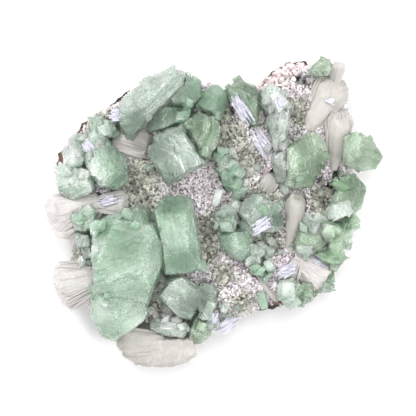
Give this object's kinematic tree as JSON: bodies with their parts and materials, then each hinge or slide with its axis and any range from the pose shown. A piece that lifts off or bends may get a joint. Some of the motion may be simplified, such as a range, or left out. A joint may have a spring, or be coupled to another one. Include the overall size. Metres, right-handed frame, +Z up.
{
  "type": "apophyllite on heulandite specimen",
  "caption": "Mineral specimen: mint green apophyllite blocks and cream stilbite fans on a sparkling heulandite druse over dark basalt, with a flat cut base.",
  "frame": {"origin": "on the cut base, under the middle of the specimen", "axes": "+Z up out of the crystal side, +X along the longest way across, +Y across the plate"},
  "size_m": [0.1488, 0.1376, 0.0575],
  "materials": {
    "basalt": "rough broken basalt, brown black, vesicular",
    "heulandite": "sparkling druse of small pinkish white crystals",
    "apophyllite_mint": "translucent mint green, milky inside, vitreous",
    "apophyllite_pale": "translucent, frosted pale green to grey white",
    "apophyllite_deep": "clear deeper green, fractured, vitreous",
    "stilbite": "silky, pearly cream blades"
  },
  "bodies": {
    "root": {"basalt_matrix": "basalt", "heulandite_crust": "heulandite", "apophyllite_great_cluster": "apophyllite_mint", "apophyllite_tall_block": "apophyllite_mint", "apophyllite_lower_cube": "apophyllite_pale", "apophyllite_pale_cube": "apophyllite_pale", "apophyllite_fractured_block": "apophyllite_deep", "apophyllite_striated_block": "apophyllite_pale", "apophyllite_upper_green_block": "apophyllite_mint", "apophyllite_top_round": "apophyllite_mint", "apophyllite_right_centre": "apophyllite_deep", "apophyllite_right_edge_upper": "apophyllite_deep", "apophyllite_right_edge_lower": "apophyllite_deep", "apophyllite_centre_egg": "apophyllite_mint", "apophyllite_centre_wedge": "apophyllite_pale", "apophyllite_centre_lath": "apophyllite_deep", "apophyllite_centre_left_pair": "apophyllite_mint", "apophyllite_dark_top": "apophyllite_deep", "apophyllite_pale_column": "apophyllite_pale", "apophyllite_grey_flank": "apophyllite_pale", "apophyllite_top_right_tip": "apophyllite_deep", "apophyllite_left_round": "apophyllite_pale", "apophyllite_left_olive_block": "apophyllite_mint", "apophyllite_left_lower_block": "apophyllite_mint", "apophyllite_left_small_pair": "apophyllite_pale", "apophyllite_upper_left_pair": "apophyllite_mint", "apophyllite_lower_right_olive": "apophyllite_deep", "apophyllite_right_fractured": "apophyllite_mint", "apophyllite_corner_tip": "apophyllite_deep", "apophyllite_bottom_right_greens": "apophyllite_deep", "apophyllite_bottom_olive_tip": "apophyllite_deep", "apophyllite_bottom_glassy": "apophyllite_pale", "apophyllite_behind_cube": "apophyllite_mint", "apophyllite_pearly_tablet": "apophyllite_pale", "apophyllite_corner_spike": "apophyllite_mint", "apophyllite_bottom_frosted": "apophyllite_pale", "stilbite_bow_tie_left": "stilbite", "stilbite_upper_right_sheaf": "stilbite", "stilbite_right_sheaf": "stilbite", "stilbite_bottom_shell": "stilbite", "stilbite_lower_left_fan": "stilbite", "stilbite_grey_fan": "stilbite", "stilbite_club": "stilbite", "stilbite_lower_right_fan": "stilbite", "stilbite_centre_wedge": "stilbite", "stilbite_top_right_tip": "stilbite", "stilbite_long_lath": "stilbite"}
  },
  "joints": []
}
